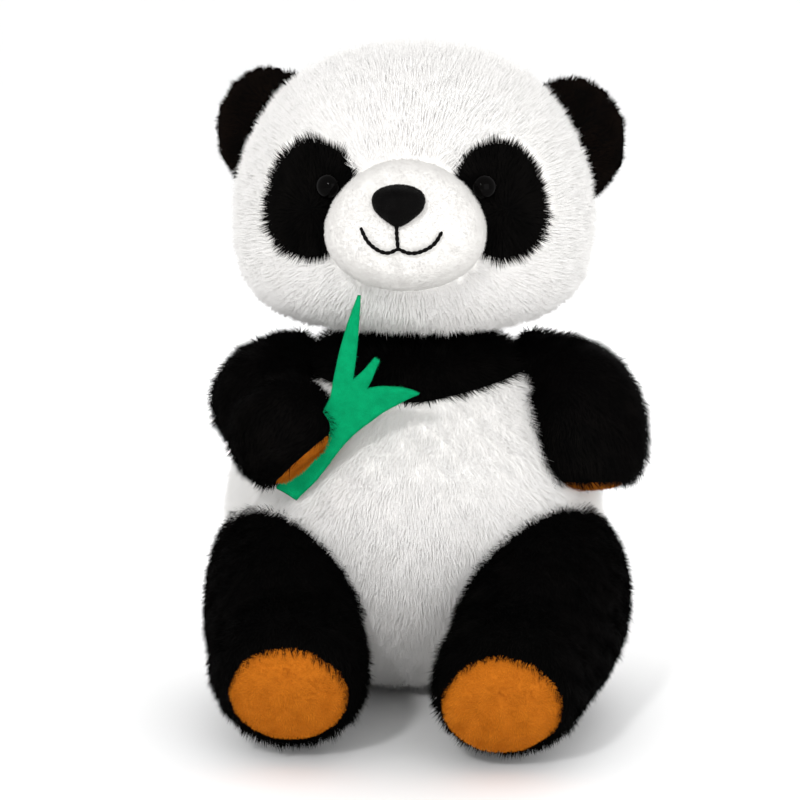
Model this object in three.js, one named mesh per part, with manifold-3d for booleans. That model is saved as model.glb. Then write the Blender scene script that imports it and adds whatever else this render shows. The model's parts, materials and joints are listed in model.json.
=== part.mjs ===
// A seated plush panda, 330 mm tall, that holds a felt bamboo sprig against its belly.
// Millimetres, +Z up. The panda faces -Y, so its own right side is at -X and its left at +X.
import * as THREE from "three";
import { mergeVertices } from "three/addons/utils/BufferGeometryUtils.js";
import Module from "manifold-3d";

const wasm = await Module();
wasm.setup();

// Driving dimensions
const SKIN = 2; // plush fabric with its pile pressed down
const GAP = 0.3; // between two pieces sewn together
const FILL_GAP = 1; // between a skin and the filling inside it
const REST_GAP = 1; // between a moving part and what it rests against
const HEAD_YAW = -3.2; // degrees: the face looks slightly towards the panda's right
const NECK = { pivotZ: 152, ballRadius: 49, holeRadius: 22, threadRing: 26, threadZ: 191.6 };
const NECK_PLUG = { radius: 17, bottom: 191.5, top: 198.5 };
const EYE = { radius: 5.8, height: 5, rim: 0.8, seat: 1.2, x: 36.2, z: 264.5, turn: 24, shank: 2, shankLength: 11 };
const WASHER = { radius: 7, thickness: 2, depth: 8 };
const THREAD = 0.8; // radius of the neck and mouth threads
const FELT = 2; // thickness of the bamboo sprig
// How finely each surface is cut into faces
const BODY_GRID = { sides: 22, levels: 12 };
const HEAD_GRID = { sides: 26, levels: 13 };
const LIMB_GRID = { sides: 18, levels: 10 };
const MUZZLE_GRID = { sides: 20, levels: 6 };
const EAR_GRID = { sides: 16, levels: 6 };
const SMALL_GRID = { sides: 16, levels: 5 };
const ROD_SIDES = 14;

const UP = new THREE.Vector3(0, 0, 1);
const FORWARD = new THREE.Vector3(0, -1, 0);

// How square the standing outlines are seen from above (2 is an ellipse), and how far the nose narrows
// towards its lower side and the muzzle towards its upper side
const BODY_SQUARENESS = 2.15;
const HEAD_SQUARENESS = 2.25;
const NOSE_TAPER = 0.2;
const MUZZLE_TAPER = -0.12;

// Standing outlines: height, half width, front depth, back depth
const TORSO = [
  [0, 44, 6, 48],
  [2.5, 60, 20, 62],
  [13, 77, 46, 72],
  [38, 92, 72, 78],
  [70, 99, 84, 80],
  [103, 99, 86, 78],
  [131, 90, 78, 71],
  [149.5, 78, 68, 62],
  [163, 69, 60, 54],
  [174, 59, 52, 41],
  [182, 47, 44, 30],
  [187, 35, 35, 25],
  [191, 22, 22, 20],
  [193.5, 6, 6, 6],
];
const HEAD = [
  [190, 52, 52, 42],
  [193, 68, 66, 52],
  [202, 82, 78, 60],
  [217, 90.5, 86, 67],
  [237, 93, 89, 72],
  [257, 92.5, 88, 74],
  [278, 86.5, 83, 70],
  [299, 74, 70, 60],
  [316, 56, 52, 45],
  [326.5, 31, 29, 25],
  [330, 7, 7, 7],
];
// Outlines along a path: x, y, z, half width, half height
const MUZZLE = [
  [0, -62, 247.2, 38.5, 31.5],
  [0, -84, 247.2, 39.5, 32],
  [0, -98, 247.6, 37.5, 30.6],
  [0, -109, 248, 31, 25.2],
  [0, -115.5, 248.8, 20.8, 16.3],
  [0, -118, 249.2, 7.5, 6],
];
const NOSE = [
  [0, -108, 259.5, 10.2, 8],
  [0, -114, 259.5, 11, 8.8],
  [0, -120, 259.5, 10, 8],
  [0, -124, 259.5, 6.5, 5.2],
  [0, -125.4, 259.5, 2.3, 1.9],
];
const EAR = [
  [0, 9.4, 0, 9, 10],
  [0, 8, 0, 22, 24],
  [0, 4, 0, 31, 34],
  [0, 0, 0, 33.5, 37],
  [0, -4, 0, 31, 34],
  [0, -8, 0, 22, 24],
  [0, -9.4, 0, 9, 10],
];
const HOLDING_UPPER_ARM = [
  [-46, 6, 160, 20, 20],
  [-60, -1, 159, 27, 27],
  [-71, -14, 156, 31, 30],
  [-75, -31, 153, 31, 30],
  [-76, -46, 150, 27, 26],
  [-76, -55, 148.5, 19, 18],
  [-76, -60, 148, 8, 8],
];
const HANGING_ARM = [
  [46, 6, 160, 20, 20],
  [62, 1, 159, 27, 27],
  [76, -9, 155, 32, 32],
  [82, -21, 147, 34, 33],
  [83, -31, 137, 34, 33],
  [83, -35.5, 126, 32.5, 31.5],
  [83, -37.2, 117.5, 27, 27],
  [83, -38, 112.5, 18, 18],
  [83, -38.3, 110.5, 5, 5],
];
const RIGHT_LEG = [
  [-56, 6, 52, 28, 33],
  [-61, -6, 53, 38, 46],
  [-63.5, -24, 55, 41, 53],
  [-64, -52, 55.5, 41, 54],
  [-63.5, -82, 49, 40, 47],
  [-61, -106, 42.5, 39.5, 40.5],
  [-58.5, -127, 41, 40.5, 40],
  [-58, -143, 37.5, 37, 37],
  [-58.5, -151, 34, 30.5, 31],
  [-58.5, -154, 32.4, 20, 20],
  [-58.5, -155, 31.8, 6, 6],
];
const LEFT_LEG = [
  [56, 6, 52, 28, 33],
  [62, -6, 53, 39, 46],
  [65, -24, 55, 42.5, 53],
  [64, -54, 55.5, 43, 54],
  [58, -86, 49, 42, 47.5],
  [50, -114, 41.5, 39, 40],
  [43, -138, 39, 39, 38.5],
  [40, -154, 34.5, 36, 34.5],
  [39.5, -162, 30.5, 29, 29],
  [39.5, -165, 28.8, 19, 19],
  [39.5, -166, 28.3, 6, 6],
];
const TAIL = [
  [0, 68, 40, 14, 12],
  [0, 77, 40, 20, 17],
  [0, 86, 41, 19, 16.5],
  [0, 93, 42, 12, 11],
  [0, 95.5, 42.5, 4.5, 4.5],
];
// The paw that holds the sprig faces inwards and down; its profile is distance along, radius
const HOLDING_PAW = {
  centre: new THREE.Vector3(-66, -72, 146),
  facing: new THREE.Vector3(0.66, -0.18, -0.73).normalize(),
  profile: [
    [-29, 8],
    [-25, 18],
    [-16, 26],
    [-4, 29.5],
    [8, 29.5],
    [17, 26.5],
    [22.5, 20.5],
    [24.5, 10],
  ],
};
const SOLE_RADIUS = 28.5;
const PALM_RADIUS = 19;
const PATCH = { x: 46.5, z: 258, width: 21.5, height: 31, lean: 14 };
const EAR_PLACE = { x: 76, y: 6, z: 280, turn: 14, foldBack: 25, foldForward: -20 };
const EAR_SEAM = { low: [89, 4, 253], high: [62, 4, 312] };
const YOKE_EDGE = { centreZ: 155, cornerX: 58, cornerZ: 170 };
const SPRIG = { x: -62.5, y: -70.5, z: 115.5, lean: 14 };

function range(count) {
  return Array.from({ length: count }, (_, i) => i);
}

// The value of a smooth curve through rows of numbers, at a place counted in rows.
function readRows(rows, place) {
  const first = Math.min(Math.floor(place), rows.length - 2);
  const t = place - first;
  const row = (i) => rows[THREE.MathUtils.clamp(i, 0, rows.length - 1)];
  const [a, b, c, d] = [row(first - 1), row(first), row(first + 1), row(first + 2)];
  return b.map((value, k) => {
    const bend = 2 * a[k] - 5 * value + 4 * c[k] - d[k];
    const twist = 3 * (value - c[k]) + d[k] - a[k];
    return value + 0.5 * t * (c[k] - a[k] + t * (bend + t * twist));
  });
}

function sample(rows, levels) {
  return range(levels + 1).map((i) => readRows(rows, (i / levels) * (rows.length - 1)));
}

function signedPower(value, power) {
  return Math.sign(value) * Math.abs(value) ** power;
}

// A closed surface through rings of points, with a flat fan over each end.
function closeRings(rings) {
  const sides = rings[0].length;
  const middle = (ring) => ring.reduce((sum, p) => sum.add(p), new THREE.Vector3()).divideScalar(sides);
  const points = [...rings.flat(), middle(rings[0]), middle(rings.at(-1))];
  const [startPole, endPole] = [points.length - 2, points.length - 1];
  const lastRing = (rings.length - 1) * sides;
  const faces = [];
  for (const k of range(sides)) {
    const next = (k + 1) % sides;
    faces.push(startPole, next, k, endPole, lastRing + k, lastRing + next);
    for (const i of range(rings.length - 1)) {
      const [low, high] = [i * sides, (i + 1) * sides];
      faces.push(low + k, low + next, high + next, low + k, high + next, high + k);
    }
  }
  const geometry = new THREE.BufferGeometry().setFromPoints(points);
  geometry.setIndex(faces);
  return geometry;
}

function standingBlob(rows, { sides, levels }, squareness) {
  const power = 2 / squareness;
  const rings = sample(rows, levels).map(([z, width, front, back]) =>
    range(sides).map((k) => {
      const angle = (k / sides) * 2 * Math.PI;
      const along = signedPower(Math.sin(angle), power);
      const x = width * signedPower(Math.cos(angle), power);
      return new THREE.Vector3(x, along * (along < 0 ? front : back), z);
    }),
  );
  return closeRings(rings);
}

// A limb-like blob whose rings are square to its path; the guide sets which way is height.
function pathBlob(rows, { sides, levels }, guide, taper = 0) {
  const stations = sample(rows, levels);
  const centre = (i) => new THREE.Vector3(...stations[THREE.MathUtils.clamp(i, 0, levels)]);
  const rings = stations.map(([x, y, z, width, height], i) => {
    const ahead = centre(i + 1).sub(centre(i - 1)).normalize();
    const high = guide.clone().addScaledVector(ahead, -guide.dot(ahead)).normalize();
    const across = high.clone().cross(ahead);
    return range(sides).map((k) => {
      const angle = (k / sides) * 2 * Math.PI;
      const reach = width * Math.cos(angle) * (1 + taper * Math.sin(angle));
      return new THREE.Vector3(x, y, z)
        .addScaledVector(across, reach)
        .addScaledVector(high, height * Math.sin(angle));
    });
  });
  return closeRings(rings);
}

// The same surface, moved out along its normals, or in for a negative distance.
function offset(geometry, distance) {
  const moved = geometry.clone();
  moved.computeVertexNormals();
  const { position, normal } = moved.attributes;
  for (const i of range(position.count)) {
    const point = new THREE.Vector3().fromBufferAttribute(position, i);
    point.addScaledVector(new THREE.Vector3().fromBufferAttribute(normal, i), distance);
    position.setXYZ(i, point.x, point.y, point.z);
  }
  moved.deleteAttribute("normal");
  return moved;
}

function solid(geometry) {
  const bare = geometry.clone();
  bare.deleteAttribute("normal");
  bare.deleteAttribute("uv");
  const merged = mergeVertices(bare, 1e-4);
  const mesh = new wasm.Mesh({
    numProp: 3,
    vertProperties: new Float32Array(merged.attributes.position.array),
    triVerts: new Uint32Array(merged.index.array),
  });
  return new wasm.Manifold(mesh);
}

function meshOf(name, shape, material) {
  const { vertProperties, triVerts } = shape.getMesh();
  const geometry = new THREE.BufferGeometry();
  geometry.setAttribute("position", new THREE.BufferAttribute(vertProperties, 3));
  geometry.setIndex(new THREE.BufferAttribute(triVerts, 1));
  geometry.computeVertexNormals();
  const mesh = new THREE.Mesh(geometry, material);
  mesh.name = name;
  return mesh;
}

function skinOf(blob) {
  return solid(blob).subtract(solid(offset(blob, -SKIN)));
}

function fillingOf(blob) {
  return solid(offset(blob, -(SKIN + FILL_GAP)));
}

// A filling is cut into half as many sides as the skin round it.
function halved(grid) {
  return { ...grid, sides: grid.sides / 2 };
}

// A rod from a point along a direction, used as a part or as a cutter.
function rod(radius, start, direction, length, sides = ROD_SIDES) {
  const geometry = new THREE.CylinderGeometry(radius, radius, length, sides);
  const aim = direction.clone().normalize();
  geometry.translate(0, length / 2, 0);
  geometry.applyQuaternion(new THREE.Quaternion().setFromUnitVectors(new THREE.Vector3(0, 1, 0), aim));
  geometry.translate(start.x, start.y, start.z);
  return solid(geometry);
}

function neckBall(radius) {
  return solid(new THREE.SphereGeometry(radius, 24, 14).translate(0, 0, NECK.pivotZ));
}

// A block with a curved lower edge in the XZ plane, through the body from front to back.
function blockAbove(edge, lift) {
  const reach = 130;
  const rise = (edge.cornerZ - edge.centreZ) / edge.cornerX ** 2;
  const shape = new THREE.Shape();
  shape.moveTo(reach, 300);
  shape.lineTo(-reach, 300);
  for (const i of range(27)) {
    const x = -reach + i * 10;
    shape.lineTo(x, edge.centreZ + lift + rise * x * x);
  }
  const geometry = new THREE.ExtrudeGeometry(shape, { depth: 2 * reach, bevelEnabled: false });
  return solid(geometry.rotateX(Math.PI / 2).translate(0, reach, 0));
}

function joined(solids) {
  return solids.reduce((whole, one) => whole.add(one));
}

function halfSpace(axis, side, at) {
  const size = 1000;
  const centre = new THREE.Vector3().setComponent(axis, at + (side * size) / 2);
  return solid(new THREE.BoxGeometry(size, size, size).translate(centre.x, centre.y, centre.z));
}

// What stays of a part once a blocker has swung past it about a hinge.
function clearOf(part, blocker, hinge, angles) {
  return angles.reduce((left, angle) => {
    const swung = blocker.clone();
    swung.translate(-hinge.point.x, -hinge.point.y, -hinge.point.z);
    swung.applyQuaternion(
      new THREE.Quaternion().setFromAxisAngle(hinge.axis, THREE.MathUtils.degToRad(-angle)),
    );
    swung.translate(hinge.point.x, hinge.point.y, hinge.point.z);
    return left.subtract(solid(swung));
  }, part);
}

// Rows for a straight round stub, from its centre, direction and profile.
function stubRows({ centre, facing, profile }) {
  return profile.map(([along, radius]) => {
    const { x, y, z } = centre.clone().addScaledVector(facing, along);
    return [x, y, z, radius, radius];
  });
}

// The point and direction in which a limb ends.
function limbEnd(rows) {
  const [last, before] = [rows.at(-1), rows.at(-3)].map((row) => new THREE.Vector3(...row));
  return { point: last, direction: last.clone().sub(before).normalize() };
}

const PLUSH_WHITE = new THREE.MeshStandardMaterial({ color: 0xf2eee8, roughness: 0.95, metalness: 0 });
const SHORT_WHITE = new THREE.MeshStandardMaterial({ color: 0xf6f3ee, roughness: 0.9, metalness: 0 });
const PLUSH_BLACK = new THREE.MeshStandardMaterial({ color: 0x0d0b0a, roughness: 0.9, metalness: 0 });
const VELBOA_TAN = new THREE.MeshStandardMaterial({ color: 0xb1661f, roughness: 0.85, metalness: 0 });
const VELVET = new THREE.MeshStandardMaterial({ color: 0x080707, roughness: 0.8, metalness: 0 });
const FELT_GREEN = new THREE.MeshStandardMaterial({ color: 0x0a9a62, roughness: 0.95, metalness: 0 });
const FIBREFILL = new THREE.MeshStandardMaterial({ color: 0xfafafa, roughness: 1, metalness: 0 });
const BLACK_PLASTIC = new THREE.MeshStandardMaterial({ color: 0x050505, roughness: 0.12, metalness: 0 });
const WASHER_PLASTIC = new THREE.MeshStandardMaterial({ color: 0xe8e8e4, roughness: 0.5, metalness: 0 });
const BLACK_THREAD = new THREE.MeshStandardMaterial({ color: 0x0a0808, roughness: 0.7, metalness: 0 });
const WHITE_THREAD = new THREE.MeshStandardMaterial({ color: 0xefece6, roughness: 0.7, metalness: 0 });

const torsoBlob = standingBlob(TORSO, BODY_GRID, BODY_SQUARENESS);
const headBlob = standingBlob(HEAD, HEAD_GRID, HEAD_SQUARENESS);
const muzzleBlob = pathBlob(MUZZLE, MUZZLE_GRID, UP, MUZZLE_TAPER);

function makeTorso() {
  const group = new THREE.Group();
  const neckHole = rod(NECK.holeRadius, new THREE.Vector3(0, 0, NECK.threadZ - 12), UP, 40);
  const skin = skinOf(torsoBlob).subtract(neckHole);
  const above = blockAbove(YOKE_EDGE, GAP / 2);
  const below = blockAbove(YOKE_EDGE, -GAP / 2);
  group.add(meshOf("belly_skin", skin.subtract(below), PLUSH_WHITE));
  group.add(meshOf("shoulder_yoke", skin.intersect(above), PLUSH_BLACK));
  const filling = fillingOf(standingBlob(TORSO, halved(BODY_GRID), BODY_SQUARENESS));
  group.add(meshOf("body_filling", filling, FIBREFILL));
  return group;
}

function makeTail() {
  const group = new THREE.Group();
  const body = solid(offset(torsoBlob, GAP));
  const skin = skinOf(pathBlob(TAIL, SMALL_GRID, UP));
  const filling = fillingOf(pathBlob(TAIL, halved(SMALL_GRID), UP));
  group.add(meshOf("tail_skin", skin.subtract(body), PLUSH_WHITE));
  group.add(meshOf("tail_filling", filling.subtract(body), FIBREFILL));
  return group;
}

// The stuffing that fills the neck opening, and the ladder-stitch thread that closes it.
function makeNeck() {
  const group = new THREE.Group();
  const ring = new THREE.TorusGeometry(NECK.threadRing, THREAD, 6, 26).translate(0, 0, NECK.threadZ);
  const height = NECK_PLUG.top - NECK_PLUG.bottom;
  const plug = rod(NECK_PLUG.radius, new THREE.Vector3(0, 0, NECK_PLUG.bottom), UP, height);
  const core = plug.intersect(neckBall(NECK.ballRadius - REST_GAP));
  group.add(meshOf("neck_thread", solid(ring), WHITE_THREAD));
  group.add(meshOf("neck_filling", core, FIBREFILL));
  return group;
}

// The frame of one eye: its place on the face and the way it looks.
function eyeFrame(side) {
  const turn = THREE.MathUtils.degToRad(EYE.turn) * side;
  const look = new THREE.Vector3(Math.sin(turn), -Math.cos(turn), 0.12).normalize();
  const ray = new THREE.Raycaster(new THREE.Vector3(EYE.x * side, -200, EYE.z), new THREE.Vector3(0, 1, 0));
  const skin = new THREE.Mesh(offset(headBlob, SKIN + GAP), new THREE.MeshBasicMaterial());
  return { look, base: ray.intersectObject(skin)[0].point };
}

function eyeSolid({ look, base }) {
  const profile = [new THREE.Vector2(0, 0), new THREE.Vector2(EYE.radius * 0.94, 0)];
  const steps = 6;
  for (const i of range(steps)) {
    const angle = (i / steps) * (Math.PI / 2);
    const lift = EYE.rim + (EYE.height - EYE.rim) * Math.sin(angle);
    profile.push(new THREE.Vector2(EYE.radius * Math.cos(angle), lift));
  }
  profile.push(new THREE.Vector2(0, EYE.height));
  const lens = new THREE.LatheGeometry(profile, ROD_SIDES);
  lens.applyQuaternion(new THREE.Quaternion().setFromUnitVectors(new THREE.Vector3(0, 1, 0), look));
  const seat = base.clone().addScaledVector(look, EYE.seat);
  lens.translate(seat.x, seat.y, seat.z);
  const back = look.clone().negate();
  const shankStart = seat.clone().addScaledVector(look, 1);
  return solid(lens).add(rod(EYE.shank, shankStart, back, EYE.shankLength + 1, 12));
}

function washerSolid({ look, base }) {
  const start = base.clone().addScaledVector(look, -WASHER.depth);
  const back = look.clone().negate();
  const disc = rod(WASHER.radius, start, back, WASHER.thickness);
  return disc.subtract(rod(EYE.shank + GAP, start.clone().addScaledVector(look, 2), back, 8, 12));
}

function eyeHole({ look, base }, radius) {
  return rod(radius, base.clone().addScaledVector(look, 5), look.clone().negate(), 22, 12);
}

function eyePatch(side, frame) {
  const shape = new THREE.Shape();
  shape.absellipse(0, 0, PATCH.width, PATCH.height, 0, 2 * Math.PI);
  const column = new THREE.ExtrudeGeometry(shape, { depth: 130, bevelEnabled: false, curveSegments: 10 });
  column.rotateZ(THREE.MathUtils.degToRad(PATCH.lean) * side);
  column.rotateX(Math.PI / 2).translate(PATCH.x * side, 0, PATCH.z);
  const layer = solid(offset(headBlob, SKIN + GAP)).subtract(solid(offset(headBlob, GAP)));
  const patch = layer.intersect(solid(column)).subtract(solid(offset(muzzleBlob, GAP)));
  return patch.subtract(eyeHole(frame, EYE.shank + GAP));
}

// The stitched mouth: a short line under the nose that parts into two upward curves.
function mouthSolid() {
  const muzzle = new THREE.Mesh(muzzleBlob, new THREE.MeshBasicMaterial());
  const onMuzzle = ([x, z]) => {
    const ray = new THREE.Raycaster(new THREE.Vector3(x, -200, z), new THREE.Vector3(0, 1, 0));
    const { point, face } = ray.intersectObject(muzzle)[0];
    return point.addScaledVector(face.normal, THREAD + GAP + 0.1);
  };
  const stitchLine = (points) => {
    const path = new THREE.CatmullRomCurve3(points.map(onMuzzle));
    const thread = new THREE.Shape().absarc(0, 0, THREAD, 0, 2 * Math.PI);
    return solid(
      new THREE.ExtrudeGeometry(thread, {
        extrudePath: path,
        steps: 8,
        curveSegments: 3,
        bevelEnabled: false,
      }),
    );
  };
  const smile = (side) =>
    stitchLine([
      [0, 240],
      [side * 5, 238.3],
      [side * 10, 239.2],
      [side * 15, 243],
      [side * 18.5, 248.6],
    ]);
  const line = stitchLine([
    [0, 249.6],
    [0, 245],
    [0, 239.5],
  ]);
  return line.add(smile(-1)).add(smile(1));
}

function makeHead() {
  const group = new THREE.Group();
  const neckHole = rod(NECK.holeRadius, new THREE.Vector3(0, 0, NECK.threadZ - 12), UP, 24);
  const sides = [-1, 1];
  const eyes = sides.map(eyeFrame);
  const outer = solid(headBlob).subtract(neckBall(NECK.ballRadius));
  const inner = solid(offset(headBlob, -SKIN)).subtract(neckBall(NECK.ballRadius + SKIN));
  let skin = outer.subtract(inner).subtract(neckHole);
  let filling = fillingOf(standingBlob(HEAD, halved(HEAD_GRID), HEAD_SQUARENESS));
  filling = filling.subtract(neckBall(NECK.ballRadius + SKIN + FILL_GAP));
  for (const frame of eyes) {
    skin = skin.subtract(eyeHole(frame, EYE.shank + GAP));
    filling = filling.subtract(eyeHole(frame, WASHER.radius + 2 * GAP));
  }
  group.add(meshOf("head_front_skin", skin.intersect(halfSpace(1, -1, -GAP / 2)), PLUSH_WHITE));
  group.add(meshOf("head_back_skin", skin.intersect(halfSpace(1, 1, GAP / 2)), PLUSH_WHITE));
  group.add(meshOf("head_filling", filling, FIBREFILL));

  const face = solid(offset(headBlob, GAP));
  const muzzleFilling = fillingOf(pathBlob(MUZZLE, halved(MUZZLE_GRID), UP, MUZZLE_TAPER));
  group.add(meshOf("muzzle_skin", skinOf(muzzleBlob).subtract(face), SHORT_WHITE));
  group.add(meshOf("muzzle_filling", muzzleFilling.subtract(face), FIBREFILL));
  const nose = solid(pathBlob(NOSE, SMALL_GRID, UP, NOSE_TAPER));
  group.add(meshOf("nose", nose.subtract(solid(offset(muzzleBlob, GAP))), VELVET));
  group.add(meshOf("mouth_stitching", mouthSolid(), BLACK_THREAD));

  sides.forEach((side, i) => {
    const name = side < 0 ? "right" : "left";
    group.add(meshOf(`${name}_eye_patch`, eyePatch(side, eyes[i]), PLUSH_BLACK));
    group.add(meshOf(`${name}_eye`, eyeSolid(eyes[i]), BLACK_PLASTIC));
    group.add(meshOf(`${name}_eye_washer`, washerSolid(eyes[i]), WASHER_PLASTIC));
    group.add(makeEar(side, name));
  });
  return group;
}

function makeEar(side, name) {
  const group = new THREE.Group();
  const place = (geometry) => {
    geometry.rotateZ(THREE.MathUtils.degToRad(EAR_PLACE.turn) * side);
    return geometry.translate(EAR_PLACE.x * side, EAR_PLACE.y, EAR_PLACE.z);
  };
  const blob = place(pathBlob(EAR, EAR_GRID, UP));
  const front = place(new THREE.BoxGeometry(120, 60, 120).translate(0, -30 - GAP / 2, 0));
  const back = place(new THREE.BoxGeometry(120, 60, 120).translate(0, 30 + GAP / 2, 0));
  const low = new THREE.Vector3(...EAR_SEAM.low);
  const high = new THREE.Vector3(...EAR_SEAM.high);
  low.x *= side;
  high.x *= side;
  const hinge = { point: low, axis: high.clone().sub(low).normalize() };
  const trim = (part) =>
    clearOf(part, offset(headBlob, REST_GAP), hinge, [
      side * EAR_PLACE.foldForward,
      0,
      side * EAR_PLACE.foldBack,
    ]);
  const skin = trim(skinOf(blob));
  const filling = trim(fillingOf(place(pathBlob(EAR, halved(EAR_GRID), UP))));
  group.add(meshOf(`${name}_ear_front`, skin.intersect(solid(front)), PLUSH_BLACK));
  group.add(meshOf(`${name}_ear_back`, skin.intersect(solid(back)), PLUSH_BLACK));
  group.add(meshOf(`${name}_ear_filling`, filling, FIBREFILL));
  return group;
}

// An arm or a leg: plush tubes joined end to end, sewn to the body and closed by a short-pile pad.
function makeLimb({ name, padName, tubes, guide, padRadius }) {
  const group = new THREE.Group();
  const { point, direction } = limbEnd(tubes.at(-1));
  const start = point.clone().addScaledVector(direction, -11);
  const padCutter = rod(padRadius, start, direction, 30);
  const tubeCutter = rod(padRadius + GAP, start.clone().addScaledVector(direction, -GAP), direction, 30);
  const body = solid(offset(torsoBlob, REST_GAP));
  const outside = joined(tubes.map((rows) => solid(pathBlob(rows, LIMB_GRID, guide))));
  const inside = joined(tubes.map((rows) => solid(offset(pathBlob(rows, LIMB_GRID, guide), -SKIN))));
  const fillings = tubes.map((rows) => fillingOf(pathBlob(rows, halved(LIMB_GRID), guide)));
  const skin = outside.subtract(inside).subtract(body);
  const filling = joined(fillings).subtract(body);
  group.add(meshOf(`${name}_skin`, skin.subtract(tubeCutter), PLUSH_BLACK));
  group.add(meshOf(padName, skin.intersect(padCutter), VELBOA_TAN));
  group.add(meshOf(`${name}_filling`, filling, FIBREFILL));
  return group;
}

// The sprig's outline: a cut stalk that widens into one tall leaf, a small one and a side leaf.
function sprigShape() {
  const shape = new THREE.Shape();
  shape.moveTo(-4.7, 3.4);
  shape.lineTo(4.8, -3.4);
  shape.quadraticCurveTo(14, 6, 21.4, 17);
  shape.quadraticCurveTo(28, 29, 39.7, 39);
  shape.quadraticCurveTo(51, 48, 64.4, 56);
  shape.quadraticCurveTo(52, 61, 39.5, 56.5);
  shape.quadraticCurveTo(42.5, 63, 45.6, 71);
  shape.lineTo(43.2, 72.4);
  shape.quadraticCurveTo(38.7, 66.5, 33, 61.5);
  shape.quadraticCurveTo(35.8, 80, 36.6, 100.4);
  shape.lineTo(35.2, 100.6);
  shape.quadraticCurveTo(26.8, 81, 22, 52);
  shape.quadraticCurveTo(11, 28, -4.7, 3.4);
  return shape;
}

function makeSprig() {
  const geometry = new THREE.ExtrudeGeometry(sprigShape(), {
    depth: FELT,
    bevelEnabled: false,
    curveSegments: 5,
  });
  geometry.rotateX(Math.PI / 2 + THREE.MathUtils.degToRad(SPRIG.lean));
  geometry.translate(SPRIG.x, SPRIG.y, SPRIG.z);
  const arm = [HOLDING_UPPER_ARM, stubRows(HOLDING_PAW)].map((rows) =>
    solid(offset(pathBlob(rows, LIMB_GRID, FORWARD), GAP)),
  );
  return meshOf("bamboo_sprig", solid(geometry).subtract(joined(arm)), FELT_GREEN);
}

function makePanda() {
  const figure = new THREE.Group();
  const head = makeHead();
  head.rotation.z = THREE.MathUtils.degToRad(HEAD_YAW);
  figure.add(makeTorso(), makeTail(), makeNeck(), head);
  const limbs = [
    {
      name: "right_arm",
      padName: "right_palm",
      tubes: [HOLDING_UPPER_ARM, stubRows(HOLDING_PAW)],
      guide: FORWARD,
      padRadius: PALM_RADIUS,
    },
    {
      name: "left_arm",
      padName: "left_palm",
      tubes: [HANGING_ARM],
      guide: FORWARD,
      padRadius: PALM_RADIUS,
    },
    { name: "right_leg", padName: "right_sole", tubes: [RIGHT_LEG], guide: UP, padRadius: SOLE_RADIUS },
    { name: "left_leg", padName: "left_sole", tubes: [LEFT_LEG], guide: UP, padRadius: SOLE_RADIUS },
  ];
  for (const limb of limbs) figure.add(makeLimb(limb));
  figure.add(makeSprig());
  return figure;
}

// The origin is the middle of the bounding box's base.
function standOnOrigin(figure) {
  const box = new THREE.Box3().setFromObject(figure, true);
  const middle = box.getCenter(new THREE.Vector3());
  figure.position.set(-middle.x, -middle.y, -box.min.z);
}

const panda = new THREE.Group();
panda.name = "plush_panda";
const figure = makePanda();
standOnOrigin(figure);
panda.add(figure);

export default panda;
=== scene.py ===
"""Looks for the seated plush panda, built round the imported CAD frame.

Shapes are worked out in millimetres in the panda's own frame, then moved into the row frame.
The panda faces -Y, its own right side at -X. Each stuffed part is a closed form that a short
cloth simulation fills, cut into its sewn panels. The pile is real geometry, one spike per tuft.
"""

import json
import math

import bmesh
import bpy
import numpy as np
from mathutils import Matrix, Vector
from mathutils.bvhtree import BVHTree
from mathutils.kdtree import KDTree


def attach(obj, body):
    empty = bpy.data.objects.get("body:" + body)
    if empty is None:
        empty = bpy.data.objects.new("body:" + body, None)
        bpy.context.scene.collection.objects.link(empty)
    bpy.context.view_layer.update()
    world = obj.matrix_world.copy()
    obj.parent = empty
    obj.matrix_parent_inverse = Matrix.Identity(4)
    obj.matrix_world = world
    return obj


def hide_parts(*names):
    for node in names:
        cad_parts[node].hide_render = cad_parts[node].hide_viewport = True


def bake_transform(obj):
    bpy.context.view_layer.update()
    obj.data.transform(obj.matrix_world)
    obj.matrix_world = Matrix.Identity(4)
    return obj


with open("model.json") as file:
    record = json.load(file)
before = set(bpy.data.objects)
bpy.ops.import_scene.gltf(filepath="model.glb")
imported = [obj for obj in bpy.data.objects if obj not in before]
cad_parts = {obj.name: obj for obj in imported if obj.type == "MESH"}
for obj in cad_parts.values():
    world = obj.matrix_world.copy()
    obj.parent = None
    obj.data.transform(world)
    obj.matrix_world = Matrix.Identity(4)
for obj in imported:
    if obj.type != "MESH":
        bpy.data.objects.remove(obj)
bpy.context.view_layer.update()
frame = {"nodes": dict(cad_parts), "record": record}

MM = 0.001
SEAT = next(m for m in frame["record"]["mounts"] if m["name"] == "seat_base")
SHIFT = np.array(SEAT["pos_m"]) / MM - np.array([0, 10, 0])  # from the panda's frame to the row frame
HEAD_YAW = math.radians(-3.2)
YAW = np.array([
    [math.cos(HEAD_YAW), -math.sin(HEAD_YAW), 0], [math.sin(HEAD_YAW), math.cos(HEAD_YAW), 0], [0, 0, 1],
])
UP = np.array([0.0, 0.0, 1.0])
FORWARD = np.array([0.0, -1.0, 0.0])
PILE_DEPTH = 4.8  # from the CAD surface down to the backing fabric, where the pile is long
SHORT_DEPTH = {"muzzle": 1.2, "right_ear": 2.4, "left_ear": 2.4}
SWELL = 0.6  # how far a form starts inside its place, for the simulation to push out
RISE = (-0.8, 2.2)  # the most that the simulation may move a point in and out
PRESSURE = 40.0
FABRIC_MASS = 0.02
FABRIC_STRETCH = 1.0
FILL_FRAMES = 20
VOXEL = 4.5
FINE_VOXEL = {"muzzle": 3.5, "right_ear": 2.5, "left_ear": 2.5, "tail": 3.0}
BACKING = 1.2  # thickness of the backing fabric
OVER_FLOOR = 1.5  # no pile starts lower than this

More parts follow.
